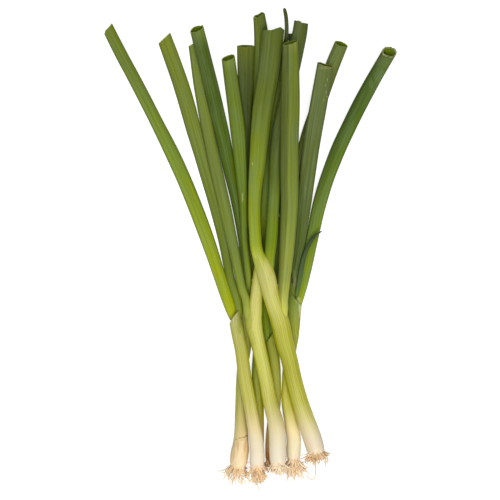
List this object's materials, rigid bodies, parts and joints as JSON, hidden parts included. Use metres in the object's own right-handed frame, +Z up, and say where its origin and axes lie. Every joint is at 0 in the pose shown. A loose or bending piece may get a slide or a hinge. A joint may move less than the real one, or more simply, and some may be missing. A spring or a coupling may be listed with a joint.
{
  "type": "spring onion bunch",
  "caption": "Fanned bunch of spring onions lying on a table, with small pale bulbs, tufts of roots and trimmed hollow green leaves.",
  "frame": {"origin": "on the table, under the middle of the bunch's bounding box", "axes": "+Z up from the table, +Y from the roots to the leaf tips, +X to the right when seen from above with the leaf tips away"},
  "size_m": [0.2113, 0.3507, 0.0229],
  "materials": {
    "bulb_and_stem": "satin",
    "leaf": "satin",
    "young_leaf": "satin",
    "roots": "matte"
  },
  "bodies": {
    "root": {"onion_1_stalk": "bulb_and_stem", "onion_1_roots": "roots", "onion_1_leaf_1": "leaf", "onion_1_leaf_2": "leaf", "onion_2_stalk": "bulb_and_stem", "onion_2_roots": "roots", "onion_2_leaf_1": "leaf", "onion_2_leaf_2": "leaf", "onion_3_stalk": "bulb_and_stem", "onion_3_roots": "roots", "onion_3_leaf_1": "leaf", "onion_3_leaf_2": "young_leaf", "onion_4_stalk": "bulb_and_stem", "onion_4_roots": "roots", "onion_4_leaf_1": "leaf", "onion_4_leaf_2": "leaf", "onion_5_stalk": "bulb_and_stem", "onion_5_roots": "roots", "onion_5_leaf_1": "leaf", "onion_5_leaf_2": "leaf", "onion_6_stalk": "bulb_and_stem", "onion_6_roots": "roots", "onion_6_leaf_1": "leaf", "onion_6_leaf_2": "leaf", "onion_6_young_leaf": "young_leaf", "onion_7_stalk": "bulb_and_stem", "onion_7_roots": "roots", "onion_7_leaf_1": "leaf", "onion_7_leaf_2": "leaf", "onion_7_leaf_3": "leaf"}
  },
  "joints": []
}
